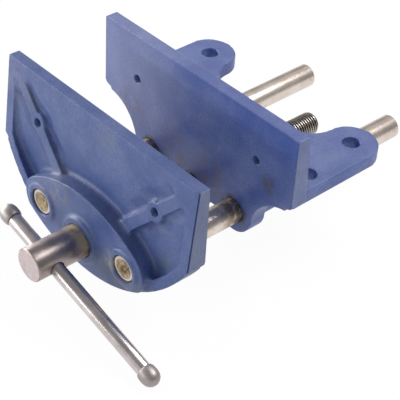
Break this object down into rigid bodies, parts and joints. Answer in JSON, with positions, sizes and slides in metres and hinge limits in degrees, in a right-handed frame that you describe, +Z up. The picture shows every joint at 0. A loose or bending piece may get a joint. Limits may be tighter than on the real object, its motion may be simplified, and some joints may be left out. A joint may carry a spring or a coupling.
{
  "type": "woodworking vise",
  "caption": "Woodworking bench vise: bench-mounted fixed jaw, moving jaw on guide bars, driven by a centre screw with a sliding tommy bar.",
  "frame": {"origin": "on the fixed jaw's clamping face, mid-width, level with the flange face that bears on the underside of the bench", "axes": "+Z up, +Y towards the back of the bench along the screw and guide bars, +X to the right seen from the front"},
  "size_m": [0.19, 0.2763, 0.1133],
  "materials": {
    "blue_enamel": "semi-gloss enamel over an as-cast surface",
    "nut_iron": "as cast, oiled",
    "fastener_steel": "dull plated steel",
    "bar_steel": "ground",
    "head_steel": "satin turned steel",
    "thread_steel": "cut thread, oiled",
    "washer_brass": "plain",
    "tommy_steel": "drawn and lightly polished"
  },
  "bodies": {
    "bench_side": {"rear_jaw_body": "blue_enamel", "screw_nut": "nut_iron", "nut_screws": "fastener_steel", "nut_screw_washers": "fastener_steel"},
    "slider": {"front_jaw": "blue_enamel", "guide_bar_left": "bar_steel", "guide_bar_right": "bar_steel", "guide_bar_pins": "fastener_steel"},
    "screw": {"screw_head": "head_steel", "screw_rod": "thread_steel", "head_pin": "fastener_steel", "thrust_washer": "washer_brass", "collar_washer": "fastener_steel", "retaining_collar": "thread_steel", "collar_pin": "fastener_steel"},
    "tommy": {"tommy_bar": "tommy_steel", "tommy_knob_near": "tommy_steel", "tommy_knob_far": "tommy_steel"}
  },
  "joints": [
    {"name": "jaw_slide", "type": "slide", "parent": "bench_side", "child": "slider", "axis": [0, 1, 0], "range_m": [-0.0601, 0.068]},
    {"name": "screw_spin", "type": "hinge", "parent": "slider", "child": "screw", "pos_m": [0, -0.068, -0.0377], "axis": [0, 1, 0], "range_deg": [-10800, 12240]},
    {"name": "tommy_slide", "type": "slide", "parent": "screw", "child": "tommy", "axis": [0.9703, 0, -0.2419], "range_m": [-0.0829, 0.0219]}
  ],
  "couplings": [
    {"joint": "jaw_slide", "follows": "screw_spin", "m_per_rad": 0.0003183}
  ]
}
